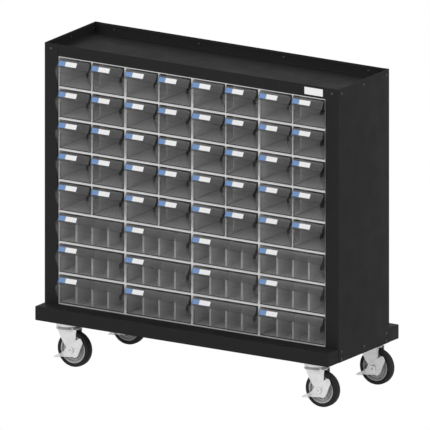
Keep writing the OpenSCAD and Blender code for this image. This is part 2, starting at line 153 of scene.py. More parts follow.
# %% [markdown]
# ## The studio
# A white room shows black steel and clear plastic best. The world is white to the eye and to
# reflections, but lights the object at a lower level, and two broad lamps add a soft direction.
# The floor is a matt white sheet that glows to the eye and to reflections only, so it looks
# evenly white and still bounces the lamps' light up under the cabinet.

# %% World
WORLD_LIGHT = 0.62
BACKGROUND = 1.0
CLEAR_BOUNCES = 48


def ray_switch(tree, low, high):
    """A value that is high for camera, glossy and transmission rays, and low for all others."""
    light_path = tree.nodes.new("ShaderNodeLightPath")
    seen = light_path.outputs["Is Camera Ray"]
    for ray in ("Is Glossy Ray", "Is Transmission Ray"):
        either = tree.nodes.new("ShaderNodeMath")
        either.operation = "MAXIMUM"
        tree.links.new(seen, either.inputs[0])
        tree.links.new(light_path.outputs[ray], either.inputs[1])
        seen = either.outputs[0]
    span = tree.nodes.new("ShaderNodeMapRange")
    span.inputs["To Min"].default_value = low
    span.inputs["To Max"].default_value = high
    tree.links.new(seen, span.inputs["Value"])
    return span.outputs["Result"]


world = bpy.data.worlds.new("studio")
scene.world = world
world.use_nodes = True
background = world.node_tree.nodes["Background"]
background.inputs["Color"].default_value = (1, 1, 1, 1)
world.node_tree.links.new(ray_switch(world.node_tree, WORLD_LIGHT, BACKGROUND),
                          background.inputs["Strength"])
scene.view_settings.view_transform = "Standard"
scene.cycles.transparent_max_bounces = CLEAR_BOUNCES
print("world lights at", WORLD_LIGHT, "and shows", BACKGROUND)

# %% Lamps
LAMP_SIZE = 2.4
AIM_POINT = Vector((0, 0, 0.6))


def soft_lamp(name, place, power):
    """A square area lamp that faces the middle of the cabinet."""
    data = bpy.data.lights.new(name, "AREA")
    data.size = LAMP_SIZE
    data.energy = power
    lamp = bpy.data.objects.new(name, data)
    lamp.location = place
    lamp.rotation_euler = (AIM_POINT - lamp.location).to_track_quat("-Z", "Y").to_euler()
    scene.collection.objects.link(lamp)


soft_lamp("key", Vector((-1.2, -3.4, 2.4)), 50)
soft_lamp("side", Vector((3.6, -0.6, 1.8)), 30)
print("lamps:", [light.name for light in bpy.data.lights])

# %% Floor
FLOOR_SIZE = 30
FLOOR_TONE = 0.9
FLOOR_WHITE = 1.0

floor_bm = bmesh.new()
bmesh.ops.create_grid(floor_bm, x_segments=1, y_segments=1, size=FLOOR_SIZE)
floor_mesh = bpy.data.meshes.new("floor")
floor_bm.to_mesh(floor_mesh)
floor_bm.free()
floor = bpy.data.objects.new("floor", floor_mesh)
scene.collection.objects.link(floor)
floor_paint = bpy.data.materials.new("floor_paint")
floor_paint.use_nodes = True
nodes, links = floor_paint.node_tree.nodes, floor_paint.node_tree.links
matt = nodes["Principled BSDF"]
matt.inputs["Base Color"].default_value = (FLOOR_TONE, FLOOR_TONE, FLOOR_TONE, 1)
matt.inputs["Roughness"].default_value = 0.9
glow = nodes.new("ShaderNodeEmission")
mix = nodes.new("ShaderNodeMixShader")
links.new(ray_switch(floor_paint.node_tree, 0, FLOOR_WHITE), mix.inputs["Fac"])
links.new(matt.outputs["BSDF"], mix.inputs[1])
links.new(glow.outputs["Emission"], mix.inputs[2])
links.new(mix.outputs["Shader"], nodes["Material Output"].inputs["Surface"])
floor_mesh.materials.append(floor_paint)
print("floor of", 2 * FLOOR_SIZE, "m across")

# %% [markdown]
# ## Finishes
# Every finish is a Principled shader with a little procedural detail. What is the same all over
# is set on the shader's own sockets. What varies, such as a slight change of tone, comes from
# noise on Object coordinates, so it stays fixed to the piece.

# %% Helpers for finishes
def rgba(colour):
    """A colour's four numbers, from its three, or from one number for a grey."""
    return (*colour, 1) if isinstance(colour, tuple) else (colour, colour, colour, 1)


def new_finish(name, colour, roughness, metallic=0.0, specular=0.5, alpha=1.0):
    """A material with the plain values set on its Principled shader."""
    finish = bpy.data.materials.new(name)
    finish.use_nodes = True
    sockets = finish.node_tree.nodes["Principled BSDF"].inputs
    sockets["Base Color"].default_value = rgba(colour)
    sockets["Roughness"].default_value = roughness
    sockets["Metallic"].default_value = metallic
    sockets["Specular IOR Level"].default_value = specular
    sockets["Alpha"].default_value = alpha
    finish.diffuse_color = (*rgba(colour)[:3], alpha)
    return finish


def piece_noise(finish, scale, detail):
    """The factor of a noise that is fixed to the piece, with scale in cycles per metre."""
    coordinates = finish.node_tree.nodes.new("ShaderNodeTexCoord")
    noise = finish.node_tree.nodes.new("ShaderNodeTexNoise")
    noise.inputs["Scale"].default_value = scale
    noise.inputs["Detail"].default_value = detail
    finish.node_tree.links.new(coordinates.outputs["Object"], noise.inputs["Vector"])
    return noise.outputs["Fac"]


def add_bump(finish, scale, detail, distance, strength):
    """Lets a noise, distance metres deep, tilt the surface."""
    tree = finish.node_tree
    bump = tree.nodes.new("ShaderNodeBump")
    bump.inputs["Distance"].default_value = distance
    bump.inputs["Strength"].default_value = strength
    tree.links.new(piece_noise(finish, scale, detail), bump.inputs["Height"])
    tree.links.new(bump.outputs["Normal"], tree.nodes["Principled BSDF"].inputs["Normal"])


def vary(finish, socket, scale, detail, low, high):
    """Lets a noise move one of the shader's sockets between two values or colours."""
    tree = finish.node_tree
    ramp = tree.nodes.new("ShaderNodeValToRGB")
    for element, place, value in zip(ramp.color_ramp.elements, (0.3, 0.7), (low, high)):
        element.position = place
        element.color = rgba(value)
    tree.links.new(piece_noise(finish, scale, detail), ramp.inputs["Fac"])
    tree.links.new(ramp.outputs["Color"], tree.nodes["Principled BSDF"].inputs[socket])


print("helpers for finishes ready")

# %% [markdown]
# ### Black powder coat
# Powder paint melts into a thin skin with a fine orange-peel texture. It is a satin black: the
# paint itself is nearly black and most of what the eye sees is a broad, weak reflection.

# %% Powder coat
powder_coat = new_finish("powder_coat", 0.015, 0.6, specular=0.1)
add_bump(powder_coat, 550, 3, 0.04 * MM, 0.5)
vary(powder_coat, "Roughness", 14, 3, 0.56, 0.68)
print("finish:", powder_coat.name)

# %% [markdown]
# ### Smoked plastic
# The bins are smoked clear styrene. Real refraction through fifty thin boxes is slow and gains
# little, because a 2 mm wall hardly bends the view. So the smoke is a grey surface that lets
# most of the light straight through, and its alpha is the share that it hides. Where one looks
# along a wall, as at an edge, there is more plastic in the way, and those zones have smoke that
# is darker and hides more. The lip's smoke hides more as well, and its grey is partly painted
# reflection of the room on the leaning lip. A dark smoke on the side walls just behind the rim
# is painted shade of the gap between bin and housing, and the same dark smoke covers the right
# side wall in front of the rim above the nose's kink. A dark strip at the foot of the front is
# painted shade of the gap under the nose.

# %% Smoked plastic
def smoke(name, tone, alpha, roughness, patches, spread=0.05):
    """A see-through finish whose gloss varies, in so many patches a metre."""
    finish = new_finish(name, tone, roughness, alpha=alpha)
    vary(finish, "Roughness", patches, 2, roughness - spread, roughness + spread)
    return finish


smoked_plastic = smoke("smoked_plastic", 0.26, 0.12, 0.16, 5, spread=0.04)
add_bump(smoked_plastic, 60, 2, 0.03 * MM, 0.3)
smoked_front = smoke("smoked_front", 0.2, 0.15, 0.25, 5)
# The lip's smoke hides more, and its grey is partly painted reflection of the room on the leaning lip.
lip_smoke_and_painted_reflection = smoke("lip_smoke_and_painted_reflection", 0.085, 0.5, 0.25, 5)
smoked_edge = smoke("smoked_edge", 0.012, 0.48, 0.3, 40)
# A dark smoke that paints the shade of the gap between a bin's side walls and its housing.
smoke_painted_shade = smoke("smoke_painted_shade", 0.012, 0.3, 0.3, 40)
# The catch's dark smoke also paints the shade strip along each bin's foot.
smoked_catch = smoke("smoked_catch", 0.02, 0.7, 0.3, 40)
print("finishes so far:", len(bpy.data.materials))

# %% [markdown]
# ### Other plastics
# The housings are light-grey plastic with a fine spark-eroded grain, the dividers a pale clear
# one and the wheels' rims a darker grey one. A very fine bump is enough for the grain.

# %% Other plastics
housing_plastic = new_finish("housing_plastic", 0.72, 0.42)
add_bump(housing_plastic, 1400, 2, 0.02 * MM, 0.4)
vary(housing_plastic, "Base Color", 9, 2, 0.70, 0.74)

divider_plastic = new_finish("divider_plastic", 0.62, 0.35, alpha=0.5)
add_bump(divider_plastic, 300, 2, 0.02 * MM, 0.3)
vary(divider_plastic, "Base Color", 12, 2, 0.58, 0.66)

rim_plastic = new_finish("rim_plastic", 0.42, 0.38)
add_bump(rim_plastic, 900, 2, 0.02 * MM, 0.4)
vary(rim_plastic, "Base Color", 30, 2, 0.40, 0.45)
print("finishes so far:", len(bpy.data.materials))

# %% [markdown]
# ### Metal, rubber and card
# Zinc plate is bright but never even: its crystals and the dip leave soft patches in tone and
# gloss. The faces deep in a swivel's groove get a dull, darker grey, and the panel screws are
# blackened. The tyres are dull rubber, and the labels are card with a printed colour field.

# %% Metal, rubber and card
zinc_plate = new_finish("zinc_plate", 0.72, 0.38, metallic=0.55)
vary(zinc_plate, "Base Color", 55, 4, 0.67, 0.77)
vary(zinc_plate, "Roughness", 210, 3, 0.3, 0.46)

groove_grey = new_finish("groove_grey", 0.36, 0.5)
vary(groove_grey, "Roughness", 300, 3, 0.45, 0.6)

dark_zinc = new_finish("dark_zinc", 0.05, 0.42, metallic=0.4)
vary(dark_zinc, "Roughness", 300, 3, 0.34, 0.5)

rubber = new_finish("rubber", 0.012, 0.75, specular=0.25)
add_bump(rubber, 700, 3, 0.05 * MM, 0.6)
vary(rubber, "Base Color", 25, 3, 0.009, 0.017)

white_card = new_finish("white_card", 0.86, 0.7)
vary(white_card, "Base Color", 900, 3, 0.83, 0.88)

blue_card = new_finish("blue_card", (0.14, 0.265, 0.52), 0.6)
vary(blue_card, "Base Color", 900, 3, (0.13, 0.25, 0.50), (0.15, 0.28, 0.54))
print("finishes in all:", len(bpy.data.materials))

# %% [markdown]
# ## Making pieces
# Blocks start from a cube, plates from an outline that is extruded, and round parts from a half
# profile that is spun. The last helper gives a piece its finishes, rounds its edges a little,
# because no real edge is a knife edge, and says which body it rides on and which solids it
# stands for.

# %% Blocks, plates and turned shapes
def only_verts(geom):
    """The vertices in what an operator returns."""
    return [g for g in geom if isinstance(g, bmesh.types.BMVert)]


def block(bm, low, high):
    """A cuboid between two corners."""
    low, high = Vector(low), Vector(high)
    verts = bmesh.ops.create_cube(bm, size=1)["verts"]
    bmesh.ops.scale(bm, vec=high - low, verts=verts)
    bmesh.ops.translate(bm, vec=(low + high) / 2, verts=verts)
    return verts


def round_edges(bm, edges, radius, segments=4, clamp=False):
    """Rounds some edges with a radius, or with what fits where it has to clamp."""
    bmesh.ops.bevel(bm, geom=edges, offset=radius, offset_type="OFFSET", segments=segments,
                    profile=0.5, affect="EDGES", material=-1, clamp_overlap=clamp)


def plate(bm, outline, along, rounding=0.0):
    """A flat outline of 3-D points extruded by a vector; its corners can be rounded."""
    verts = [bm.verts.new(point) for point in outline]
    near = bm.faces.new(verts)
    far_verts = set(only_verts(bmesh.ops.extrude_face_region(bm, geom=[near])["geom"]))
    bmesh.ops.translate(bm, vec=along, verts=list(far_verts))
    if rounding:
        corners = [e for v in verts for e in v.link_edges if e.other_vert(v) in far_verts]
        round_edges(bm, corners, rounding, clamp=True)


def turned(bm, profile, centre, axis, segments=64, closed=True):
    """Spins (radius, height) points about an axis through centre."""
    axis = Vector(axis)
    side = axis.orthogonal().normalized()
    verts = [bm.verts.new(Vector(centre) + side * r + axis * h) for r, h in profile]
    pairs = list(zip(verts, verts[1:]))
    if closed:
        pairs.append((verts[-1], verts[0]))
    edges = [bm.edges.new(pair) for pair in pairs]
    bmesh.ops.spin(bm, geom=verts + edges, cent=centre, axis=axis, angle=math.tau,
                   steps=segments, use_merge=True, use_duplicate=False)


print("helpers for shapes ready")

# %% Finishing a piece
WELD = 0.001 * MM
SMOOTH_BELOW = math.radians(35)
EDGE_RADIUS = 0.4 * MM
FINE_EDGE = 0.2 * MM


def finish_piece(bm, name, body, finishes, edge=EDGE_RADIUS, replaces=(), thickness=0.0,
                 outward=None, edge_finish=0):
    """Makes the object, and says what it rides on and stands for. A bare sheet has a thickness,
    and outward is where its largest face looks. Rounded edges have the finish at edge_finish in
    the list, and a sheet's rims the one that lies as far past their face's own."""
    bmesh.ops.remove_doubles(bm, verts=bm.verts, dist=WELD)
    bmesh.ops.recalc_face_normals(bm, faces=bm.faces)
    if outward and max(bm.faces, key=lambda f: f.calc_area()).normal.dot(Vector(outward)) < 0:
        bmesh.ops.reverse_faces(bm, faces=bm.faces)
    for face in bm.faces:
        face.smooth = True
    mesh = bpy.data.meshes.new(name)
    bm.to_mesh(mesh)
    bm.free()
    mesh.set_sharp_from_angle(angle=SMOOTH_BELOW)
    for finish in finishes:
        mesh.materials.append(finish)
    piece = bpy.data.objects.new(name, mesh)
    scene.collection.objects.link(piece)
    if thickness:
        solid = piece.modifiers.new("thickness", "SOLIDIFY")
        solid.thickness = thickness
        solid.offset = -1
        solid.use_even_offset = True
        solid.material_offset_rim = edge_finish
    if edge:
        bevel = piece.modifiers.new("edges", "BEVEL")
        bevel.width = edge
        bevel.segments = 2
        bevel.limit_method = "ANGLE"
        bevel.angle_limit = SMOOTH_BELOW
        bevel.harden_normals = True
        if edge_finish:
            bevel.material = edge_finish
    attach(piece, body)
    if replaces:
        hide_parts(*replaces)
    return piece


print("edges rounded by", EDGE_RADIUS / MM, "mm")

# %% Picking faces and cutting
def face_towards(verts, direction):
    """Of the faces round some vertices, the one that looks most in a direction."""
    faces = {f for v in verts for f in v.link_faces}
    for face in faces:
        face.normal_update()
    return max(faces, key=lambda f: (f.normal.dot(Vector(direction)), f.calc_area()))


def sink(bm, face, along):
    """Extrudes one face by a vector and returns the moved face."""
    grown = bmesh.ops.extrude_face_region(bm, geom=[face])["geom"]
    bmesh.ops.delete(bm, geom=[face], context="FACES_ONLY")
    bmesh.ops.translate(bm, vec=along, verts=only_verts(grown))
    return next(g for g in grown if isinstance(g, bmesh.types.BMFace))


def edges_where(bm, test):
    """The edges whose two ends both pass a test of their place."""
    return [e for e in bm.edges if all(test(v.co) for v in e.verts)]


def inset(bm, face, margin):
    """Rings a face with a margin; the face itself becomes the smaller one inside."""
    bmesh.ops.inset_region(bm, faces=[face], thickness=margin, use_even_offset=True)


def slice_at(bm, place, normal, geom=None):
    """Cuts what a plane through place crosses, of the whole mesh or of geom."""
    geom = geom or bm.verts[:] + bm.edges[:] + bm.faces[:]
    bmesh.ops.bisect_plane(bm, geom=geom, plane_co=place, plane_no=normal)


print("helpers for faces and cuts ready")

# %% [markdown]
# ## The steel body
# Each side is one sheet: a skin with a stile folded round its front and a flange round its rear.
# A folded sheet has round bends and the same thickness everywhere, so it is drawn as a bare
# surface first. Its bends are bevelled, and a Solidify modifier gives it its thickness inwards.

# %% Side panels
SHEET = 1.5 * MM
BEND = 2.5 * MM
REAR_FLANGE = 22 * MM
PLATFORM_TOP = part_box("back_panel")[0].z


def pull_edges(bm, edges, along):
    """Extrudes edges by a vector."""
    grown = bmesh.ops.extrude_edge_only(bm, edges=edges)["geom"]
    bmesh.ops.translate(bm, vec=along, verts=only_verts(grown))


def side_sheet(node, outwards):
    """A folded side, its skin facing along X by the sign of outwards."""
    low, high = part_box(node)
    stile_x, skin_x = (low.x, high.x) if outwards > 0 else (high.x, low.x)
    plan = [(stile_x, low.y), (skin_x, low.y), (skin_x, high.y),
            (skin_x - outwards * REAR_FLANGE, high.y)]
    bm = bmesh.new()
    verts = [bm.verts.new((x, y, PLATFORM_TOP)) for x, y in plan]
    edges = [bm.edges.new(pair) for pair in zip(verts, verts[1:])]
    pull_edges(bm, edges, (0, 0, high.z - PLATFORM_TOP))
    round_edges(bm, [e for e in bm.edges if len(e.link_faces) == 2], BEND)
    feet = edges_where(bm, lambda p: p.z < PLATFORM_TOP + SHEET)
    skirt = max(feet, key=lambda e: e.calc_length())
    pull_edges(bm, [skirt], (0, 0, low.z - PLATFORM_TOP))
    finish_piece(bm, node + "_sheet", "cabinet", [powder_coat], replaces=[node],
                 thickness=SHEET, outward=(outwards, 0, 0))


side_sheet("side_panel_right", 1)
side_sheet("side_panel_left", -1)
print("side panels folded, bend radius", BEND / MM, "mm")

# %% [markdown]
# The platform is a pan with its open side down. A cube without its bottom face, with bevelled
# edges and a thickness, is exactly that. Under the housings lies a thin strip of their own
# plastic, as wide as the whole grid.

# %% Platform
SEAT_INSET = 0.2 * MM

low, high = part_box("base_platform")
bm = bmesh.new()
verts = block(bm, low, (high.x, high.y, PLATFORM_TOP))
bmesh.ops.delete(bm, geom=[face_towards(verts, (0, 0, -1))], context="FACES_ONLY")
round_edges(bm, [e for e in bm.edges if len(e.link_faces) == 2], BEND)
finish_piece(bm, "platform_pan", "cabinet", [powder_coat], replaces=["base_platform"],
             thickness=SHEET, outward=(0, 0, 1))

left, right = WIDE_HOUSINGS[0][0], WIDE_HOUSINGS[-1][1]
bm = bmesh.new()
block(bm, (left.x + SEAT_INSET, left.y, PLATFORM_TOP), (right.x - SEAT_INSET, right.y, high.z))
finish_piece(bm, "housing_seat", "cabinet", [housing_plastic], edge=0)
print("platform top at", PLATFORM_TOP, "and housings from", high.z)

# %% [markdown]
# The back closes the body between the two rear flanges. A large flat sheet rattles, so such backs
# are pressed with broad, shallow fields. Each field is a face that is inset and pushed out a
# little, less than the flanges stand proud.

# %% Back panel
BACK_FIELDS = 2
FIELD_MARGIN = 60 * MM
FIELD_SLOPE = 3 * MM
FIELD_DEPTH = 0.9 * MM

low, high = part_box("back_panel")
bm = bmesh.new()
block(bm, low, high)
for i in range(1, BACK_FIELDS):
    slice_at(bm, (low.x + (high.x - low.x) * i / BACK_FIELDS, 0, 0), (1, 0, 0))
for face in [f for f in bm.faces if f.normal.y > 0.9]:
    inset(bm, face, FIELD_MARGIN)
    inset(bm, face, FIELD_SLOPE)
    bmesh.ops.translate(bm, vec=(0, FIELD_DEPTH, 0), verts=face.verts[:])
finish_piece(bm, "back_sheet", "cabinet", [powder_coat], replaces=["back_panel"])
print("fields in the back:", BACK_FIELDS)

# %% [markdown]
# The tray in the top is a pan whose rim is folded back on itself, so the rim is twice as thick as
# the sheet and has a round top. The pocket is sunk in steps: past the fold, out under it, and
# down to the floor. The two top edges are then rounded until they meet.

# %% Tray in the top
HEM_T = 3 * MM
HEM_H = 10 * MM
HEM_ROUND = 0.45 * HEM_T
TRAY_FLOOR = next(m["pos_m"][2] for m in frame["record"]["mounts"] if m["name"] == "tray_floor")

low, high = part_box("top_tray")
middle = (low + high) / 2
bm = bmesh.new()
verts = block(bm, (low.x, low.y, TRAY_FLOOR - SHEET), high)
pocket = face_towards(verts, (0, 0, 1))
inset(bm, pocket, HEM_T)
pocket = sink(bm, pocket, (0, 0, -HEM_H))
pocket = sink(bm, pocket, (0, 0, 0))
for vert in pocket.verts:
    vert.co.x += math.copysign(HEM_T - SHEET, vert.co.x - middle.x)
    vert.co.y += math.copysign(HEM_T - SHEET, vert.co.y - middle.y)
sink(bm, pocket, (0, 0, TRAY_FLOOR - high.z + HEM_H))
round_edges(bm, edges_where(bm, lambda p: p.z > high.z - SHEET), HEM_ROUND, 3)
round_edges(bm, edges_where(bm, lambda p: abs(p.z - TRAY_FLOOR) < SHEET / 4), BEND)
block(bm, low, (high.x, low.y + SHEET, TRAY_FLOOR - SHEET))
finish_piece(bm, "tray_pan", "cabinet", [powder_coat], replaces=["top_tray"])
print("tray floor at", TRAY_FLOOR)

# %% [markdown]
# ## Screws and nuts
# Twenty-two panel screws hold the body. Their places and directions come from the solids: a
# screw lies along the side of its box that is as long as a screw, and its head is at the end
# further out. Each is a domed head with a socket, a shank, and a nut behind the two sheets.

# %% Panel screws
HEAD_R = 4.6 * MM
HEAD_H = 2.2 * MM
SOCKET_R = 1.7 * MM
SHANK_R = 2.5 * MM
SHANK_L = 7 * MM
NUT_H = 2.5 * MM


def panel_screw(bm, seat, outwards, length):
    """A screw whose head sits at seat and looks along outwards."""
    known = set(bm.verts)
    turned(bm, [(SOCKET_R, 0.5 * HEAD_H), (SOCKET_R, 0.96 * HEAD_H), (0.55 * HEAD_R, 0.98 * HEAD_H),
                (0.82 * HEAD_R, 0.72 * HEAD_H), (HEAD_R, 0.22 * HEAD_H), (HEAD_R, 0), (SHANK_R, 0),
                (SHANK_R, HEAD_H - length)], (0, 0, 0), (0, 0, 1), 18, closed=False)
    bmesh.ops.holes_fill(bm, edges=[e for e in bm.edges if e.is_boundary and e.verts[0] not in known])
    bmesh.ops.create_cone(bm, cap_ends=True, segments=6, radius1=HEAD_R, radius2=HEAD_R, depth=NUT_H,
                          matrix=Matrix.Translation((0, 0, -2 * SHEET - NUT_H / 2)))
    fresh = [v for v in bm.verts if v not in known]
    turn = Vector((0, 0, 1)).rotation_difference(Vector(outwards)).to_matrix().to_4x4()
    bmesh.ops.transform(bm, matrix=Matrix.Translation(seat) @ turn, verts=fresh)


bm = bmesh.new()
body_middle = (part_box("side_panel_left")[0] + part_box("side_panel_right")[1]) / 2
screws = loose_boxes("panel_screws")
for low, high in screws:
    size, centre = high - low, (low + high) / 2
    axis = min((0, 1), key=lambda i: abs(size[i] - (HEAD_H + SHANK_L)))
    outwards = Vector((0, 0, 0))
    outwards[axis] = math.copysign(1, centre[axis] - body_middle[axis])
    tip = high[axis] if outwards[axis] > 0 else low[axis]
    seat = centre.copy()
    seat[axis] = tip - outwards[axis] * HEAD_H
    panel_screw(bm, seat, outwards, size[axis])
finish_piece(bm, "panel_screw_set", "cabinet", [dark_zinc], edge=FINE_EDGE,
             replaces=["panel_screws"])
print("panel screws:", len(screws))

# %% [markdown]
# ## Card plate
# The plate on the band is a shallow frame with a blank card in it. Two pieces would do, but one
# whose front face is inset and sunk a little shows the same.

# %% Card plate
CARD_FRAME = 1.2 * MM
CARD_SUNK = 0.4 * MM

low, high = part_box("card_plate")
bm = bmesh.new()
field = face_towards(block(bm, low, high), (0, -1, 0))
inset(bm, field, CARD_FRAME)
sink(bm, field, (0, CARD_SUNK, 0))
finish_piece(bm, "card_plate_blank", "cabinet", [white_card], edge=FINE_EDGE,
             replaces=["card_plate"])
print("card plate", rounded(high - low), "mm")

# %% [markdown]
# ## Housings
# A housing is a sleeve: a wide rim in front, a thin wall behind it. Both end faces are inset, the
# front one is sunk by the rim's depth and widened to the cavity, and a bridge joins it to the
# rear one. The bottom of the cavity is level with the opening, so the bins slide straight in.

# %% Housings
RIM_W = 4 * MM
RIM_D = 6 * MM
UNIT_WALL = 2 * MM
POST_W = 4.6 * MM
DIVIDER_SETBACK = 50 * MM
RAIL_H = 9 * MM
HOUSING_EDGE = 0.6 * MM


def face_between(verts, lows, highs):
    """Moves a rectangle's corners, given in X and Z, to the box of lows and highs."""
    middle_x = sum(v.co.x for v in verts) / len(verts)
    middle_z = sum(v.co.z for v in verts) / len(verts)
    for vert in verts:
        vert.co.x = highs[0] if vert.co.x > middle_x else lows[0]
        vert.co.z = highs[1] if vert.co.z > middle_z else lows[1]


def housing(bm, low, high):
    """The sleeve of one housing between two corners."""
    verts = block(bm, low, high)
    opening = (low.x + RIM_W, low.z + RIM_W), (high.x - RIM_W, high.z - RIM_W)
    cavity = (low.x + UNIT_WALL, low.z + RIM_W), (high.x - UNIT_WALL, high.z - UNIT_WALL)
    front = face_towards(verts, (0, -1, 0))
    rear = face_towards(verts, (0, 1, 0))
    inset(bm, front, RIM_W)
    face_between(front.verts, *opening)
    inset(bm, rear, UNIT_WALL)
    face_between(rear.verts, *cavity)
    front = sink(bm, front, (0, RIM_D, 0))
    front = sink(bm, front, (0, 0, 0))
    face_between(front.verts, *cavity)
    rings = front.edges[:] + rear.edges[:]
    bmesh.ops.delete(bm, geom=[front, rear], context="FACES_ONLY")
    bmesh.ops.bridge_loops(bm, edges=rings)


def housing_divider(bm, low, high):
    """Post, rail and set-back divider in the middle of a housing for two narrow bins."""
    x = (low.x + high.x) / 2
    floor_z, roof_z = low.z + RIM_W, high.z - UNIT_WALL
    block(bm, (x - POST_W / 2, low.y, floor_z), (x + POST_W / 2, low.y + RIM_D, high.z - RIM_W))
    cut_y = low.y + DIVIDER_SETBACK
    outline = [(low.y + RIM_D, floor_z), (high.y, floor_z), (high.y, roof_z), (cut_y, roof_z),
               (cut_y, floor_z + RAIL_H), (low.y + RIM_D, floor_z + RAIL_H)]
    plate(bm, [(x - UNIT_WALL / 2, y, z) for y, z in outline], (UNIT_WALL, 0, 0))


print("housing rim", RIM_W / MM, "mm wide, walls", UNIT_WALL / MM, "mm")

# %% [markdown]
# The upper five rows are small housings and the lower three wide ones. No housing moves against
# another, so each kind is one mesh.

# %% All housings
for name, boxes, split in (("small_housings", SMALL_HOUSINGS, True),
                           ("wide_housings", WIDE_HOUSINGS, False)):
    bm = bmesh.new()
    for low, high in boxes:
        housing(bm, low, high)
        if split:
            housing_divider(bm, low, high)
    piece = finish_piece(bm, name + "_moulded", "cabinet", [housing_plastic],
                         edge=HOUSING_EDGE, replaces=[name])
    print(piece.name, len(piece.data.polygons), "faces")

# %% [markdown]
# ## Bins
# A bin's side outline runs along its floor, up the slanted see-through front to the nose, back
# to a groove and up the lip that leans away. Its corners could be typed in one by one. Here they
# follow from each other, from the floor's front end at the housing's rim, because then one
# number moves all that belongs together.

# %% Bin outline
BIN_WALL = 2 * MM
BIN_DEPTH = 290 * MM
SIDE_DROP = 7 * MM
NOSE_OUT = 30 * MM
NOSE_FACE_H = 16 * MM
LIP_LEAN = math.radians(30)
LIP_SLOPE = Vector((0, math.sin(LIP_LEAN), math.cos(LIP_LEAN)))
LIP_H = 29 * MM
LIP_GAP = 3.4 * MM
FOOT_GAP = 0.4 * MM
OPENING_H = SMALL_HOUSINGS[0][1].z - SMALL_HOUSINGS[0][0].z - 2 * RIM_W

lip_top = Vector((0, -5 * MM, OPENING_H - FOOT_GAP - LIP_GAP))
lip_foot = lip_top - LIP_H * LIP_SLOPE
groove = lip_foot + Vector((0, -2 * MM, -1 * MM))
nose_top = Vector((0, -NOSE_OUT, groove.z - 3 * MM))
nose_low = nose_top + Vector((0, 2 * MM, -NOSE_FACE_H))
nose_foot = Vector((0, -3 * MM, 0))
side_top = Vector((0, 3 * MM, lip_top.z - SIDE_DROP))
rear_top = Vector((0, BIN_DEPTH, lip_top.z - SIDE_DROP))
rear_foot = Vector((0, BIN_DEPTH, 0))
lip_back = lip_top + Vector((0, 3 * MM, 0))
BIN_OUTLINE = [rear_foot, nose_foot, nose_low, nose_top, groove, lip_foot, lip_top, lip_back,
               side_top, rear_top]
print("lip from", rounded(lip_foot), "to", rounded(lip_top), "mm")

# %% [markdown]
# The outline is extruded across the bin, the top is opened and the nose is rounded. Planes then
# cut the shell into zones, so that the lip, the front and the parts of the side walls that get
# painted shade can have a smoke of their own. The wall gets its thickness inwards last. Its rims
# take the finish after their face's own in the list, which is why the lip stands in it twice.

# %% Bin shell
ALMOST = 0.1 * MM
NOSE_ROUND = 2.5 * MM
CORNER_CUT = 7 * MM
SHADE_IN = 6 * MM
BIN_FINISHES = [smoked_plastic, smoked_edge, smoked_front, lip_smoke_and_painted_reflection, lip_smoke_and_painted_reflection, smoke_painted_shade]
CLEAR, EDGE, FRONT, LIP, SHADE = 0, 1, 2, 3, 5


def open_and_round(bm, corner):
    """Takes off the faces over a bin's mouth and rounds its nose."""
    top_z, top_y = corner.z + rear_top.z - ALMOST, corner.y + lip_top.y - ALMOST
    top = [f for f in bm.faces if len(f.verts) == 4 and min(v.co.z for v in f.verts) > top_z
           and min(v.co.y for v in f.verts) > top_y]
    bmesh.ops.delete(bm, geom=top, context="FACES_ONLY")
    tips = [corner.y + p.y for p in (nose_low, nose_top)]
    nose = [e for e in bm.edges if abs(e.verts[0].co.y - e.verts[1].co.y) < ALMOST / 10
            and any(abs(e.verts[0].co.y - y) < ALMOST / 10 for y in tips)]
    round_edges(bm, nose, NOSE_ROUND, 3)


def smoke_zone(middle, width):
    """Which of the bin's finishes a face has, by its middle as seen from the bin's corner."""
    to_side = min(middle.x, width - middle.x)
    # Side-wall faces up to SHADE_IN behind the rim and below the nose's kink get dark smoke as painted
    # shade of the gap between bin and housing; the right side wall in front of the rim, above the kink,
    # gets the same dark smoke.
    if to_side < ALMOST:
        low_shade = 0 < middle.y < SHADE_IN and middle.z < nose_low.z
        high_shade = middle.y < 0 and middle.x > width / 2 and middle.z > nose_low.z
        return SHADE if low_shade or high_shade else CLEAR
    if to_side - CORNER_CUT < middle.z - lip_top.z:
        return EDGE
    if middle.y < 0 and middle.z > nose_low.z:
        return LIP if middle.z > lip_foot.z else FRONT
    return CLEAR


def bin_shell(bm, corner, width):
    """The open shell of one bin, drawn from the foot of its left wall at the rim."""
    plate(bm, [corner + point for point in BIN_OUTLINE], (width, 0, 0))
    for face in bm.faces:
        face.normal_update()
    open_and_round(bm, corner)
    lip_z = corner.z + lip_top.z
    slice_at(bm, (corner.x + CORNER_CUT, 0, lip_z), (-1, 0, 1))
    slice_at(bm, (corner.x + width - CORNER_CUT, 0, lip_z), (1, 0, 1))
    slice_at(bm, (0, corner.y, 0), (0, 1, 0))
    slice_at(bm, (0, corner.y + SHADE_IN, 0), (0, 1, 0))
    slice_at(bm, (0, 0, corner.z + nose_low.z), (0, 0, 1))
    for face in bm.faces:
        face.material_index = smoke_zone(face.calc_center_median() - corner, width)


print("finishes of a bin:", [finish.name for finish in BIN_FINISHES])

# %% [markdown]
# Two ears near the rear stop the bin at the housing's rim, and a dark strip along the foot of its
# front is painted shade of the gap under the nose. They could be pulled out of the shell, but
# blocks leave its zones alone.

# %% Bin trim
EAR_SETBACK = 56 * MM
EAR_L = 12 * MM
SHADE_STRIP_H = 3.2 * MM
SHADE_STRIP_T = 1 * MM
BIN_EDGE = 0.5 * MM


